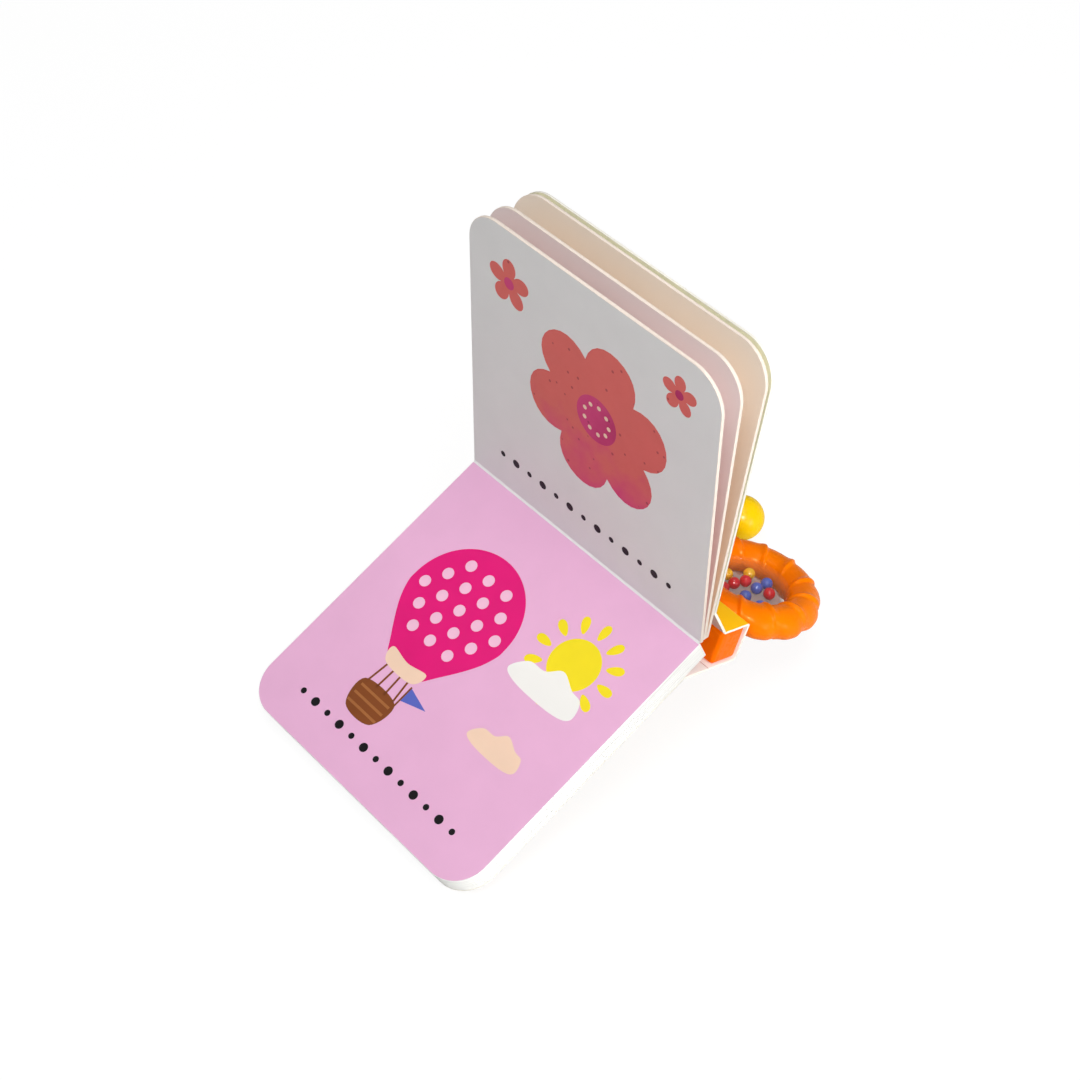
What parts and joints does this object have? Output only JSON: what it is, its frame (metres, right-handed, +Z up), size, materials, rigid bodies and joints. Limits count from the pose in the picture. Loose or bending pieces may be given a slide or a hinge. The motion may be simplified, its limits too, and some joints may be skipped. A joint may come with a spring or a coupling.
{
  "type": "rattle book",
  "caption": "Open square board book standing like an easel: thick round-cornered pages, and a card spine that holds a plastic rattle of ribbed bead rings and a ball.",
  "frame": {"origin": "on the floor, under the middle of the open book's box", "axes": "+X along the gutter, +Y from the rear pages' outer edge towards the rattle, +Z up"},
  "size_m": [0.1402, 0.2234, 0.1876],
  "materials": {
    "pink_board": "satin print on white board",
    "white_board": "satin print on white board",
    "cover_card": "satin print on white card",
    "orange_plastic": "gloss",
    "yellow_plastic": "gloss",
    "clear_plastic": "clear gloss",
    "bead_yellow": "gloss",
    "bead_red": "gloss",
    "bead_blue": "gloss"
  },
  "bodies": {
    "rear_half": {"rear_pages": "pink_board", "rear_cover": "cover_card"},
    "front_half": {"front_pages": "white_board", "front_cover": "cover_card"},
    "spine": {"spine_card": "cover_card", "anchor_bar": "orange_plastic", "near_ring": "orange_plastic", "near_window_top": "clear_plastic", "near_window_bottom": "clear_plastic", "near_beads_yellow": "bead_yellow", "near_beads_red": "bead_red", "near_beads_blue": "bead_blue", "far_ring": "orange_plastic", "far_window_top": "clear_plastic", "far_window_bottom": "clear_plastic", "far_beads_yellow": "bead_yellow", "far_beads_red": "bead_red", "far_beads_blue": "bead_blue", "stem": "orange_plastic", "ball": "yellow_plastic"},
    "front_fold": {"front_strip": "cover_card"}
  },
  "joints": [
    {"name": "book_hinge", "type": "hinge", "parent": "rear_half", "child": "front_half", "pos_m": [0, 0.00944, 0.05763], "axis": [1, 0, 0], "range_deg": [-30, 111]},
    {"name": "spine_hinge", "type": "hinge", "parent": "rear_half", "child": "spine", "pos_m": [0, 0.00217, 0.04318], "axis": [1, 0, 0], "range_deg": [-11.6, 42.7]},
    {"name": "strip_hinge", "type": "hinge", "parent": "front_half", "child": "front_fold", "pos_m": [0, 0.01658, 0.0693], "axis": [1, 0, 0], "range_deg": [-22.1, 6]}
  ],
  "couplings": [
    {"joint": "spine_hinge", "follows": "book_hinge", "ratio": 0.3839},
    {"joint": "strip_hinge", "follows": "book_hinge", "ratio": -0.1983}
  ]
}
